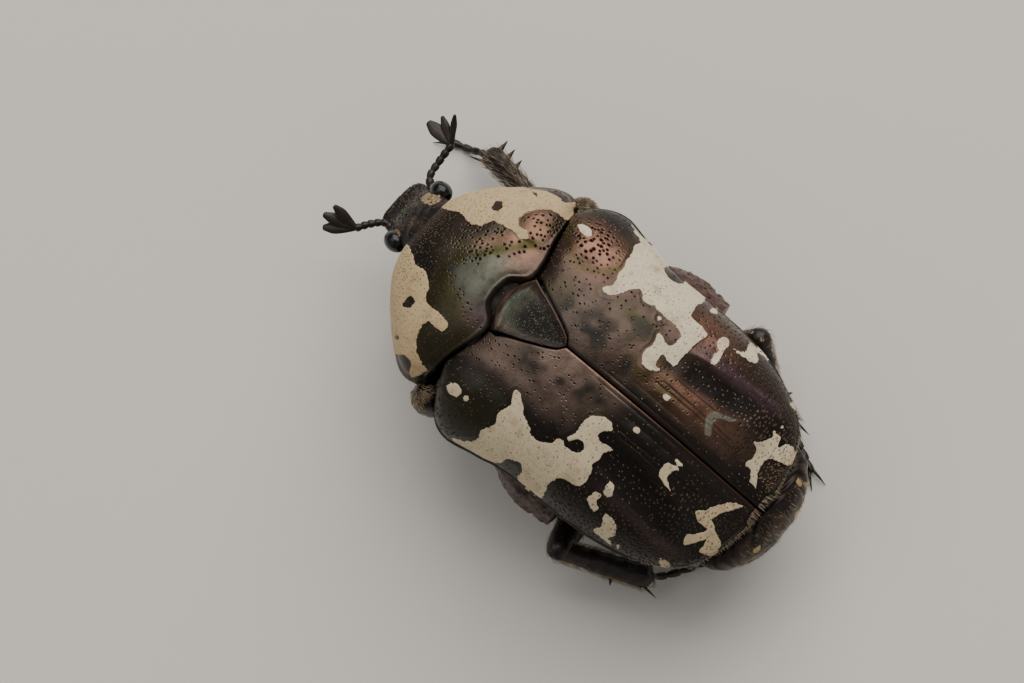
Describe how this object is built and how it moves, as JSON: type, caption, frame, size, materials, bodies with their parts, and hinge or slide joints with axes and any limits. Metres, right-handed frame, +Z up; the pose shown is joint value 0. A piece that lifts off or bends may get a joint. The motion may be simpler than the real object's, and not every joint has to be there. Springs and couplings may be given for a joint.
{
  "type": "flower chafer beetle",
  "caption": "Life-size still model of a flower chafer: oval, glossy bronze-black beetle with cream patches, standing on its legs, for display.",
  "frame": {"origin": "centre of the overall box in X and Y, at the height of the floor the feet stand on", "axes": "head towards -Y, tail towards +Y, the beetle's left side towards +X, up is +Z"},
  "size_m": [0.01, 0.018, 0.0072],
  "materials": {
    "back_cuticle": "glossy bronze-black cuticle with cream patches, pitted",
    "body_cuticle": "dark bronze cuticle, pitted, with short pale hair",
    "limb_cuticle": "brown-black cuticle, shiny",
    "eye": "black, wet shine"
  },
  "bodies": {
    "root": {"head": "body_cuticle", "prothorax": "back_cuticle", "scutellum": "back_cuticle", "thorax": "body_cuticle", "abdomen": "body_cuticle", "pygidium": "back_cuticle", "elytron_left": "back_cuticle", "eye_left": "eye", "antenna_left_stalk": "limb_cuticle", "antenna_left_club": "limb_cuticle", "front_left_coxa": "limb_cuticle", "front_left_femur": "limb_cuticle", "front_left_tibia": "limb_cuticle", "front_left_tarsus": "limb_cuticle", "middle_left_coxa": "limb_cuticle", "middle_left_femur": "limb_cuticle", "middle_left_tibia": "limb_cuticle", "middle_left_tarsus": "limb_cuticle", "hind_left_coxa": "limb_cuticle", "hind_left_femur": "limb_cuticle", "hind_left_tibia": "limb_cuticle", "hind_left_tarsus": "limb_cuticle", "elytron_right": "back_cuticle", "eye_right": "eye", "antenna_right_stalk": "limb_cuticle", "antenna_right_club": "limb_cuticle", "front_right_coxa": "limb_cuticle", "front_right_femur": "limb_cuticle", "front_right_tibia": "limb_cuticle", "front_right_tarsus": "limb_cuticle", "middle_right_coxa": "limb_cuticle", "middle_right_femur": "limb_cuticle", "middle_right_tibia": "limb_cuticle", "middle_right_tarsus": "limb_cuticle", "hind_right_coxa": "limb_cuticle", "hind_right_femur": "limb_cuticle", "hind_right_tibia": "limb_cuticle", "hind_right_tarsus": "limb_cuticle"}
  },
  "joints": []
}
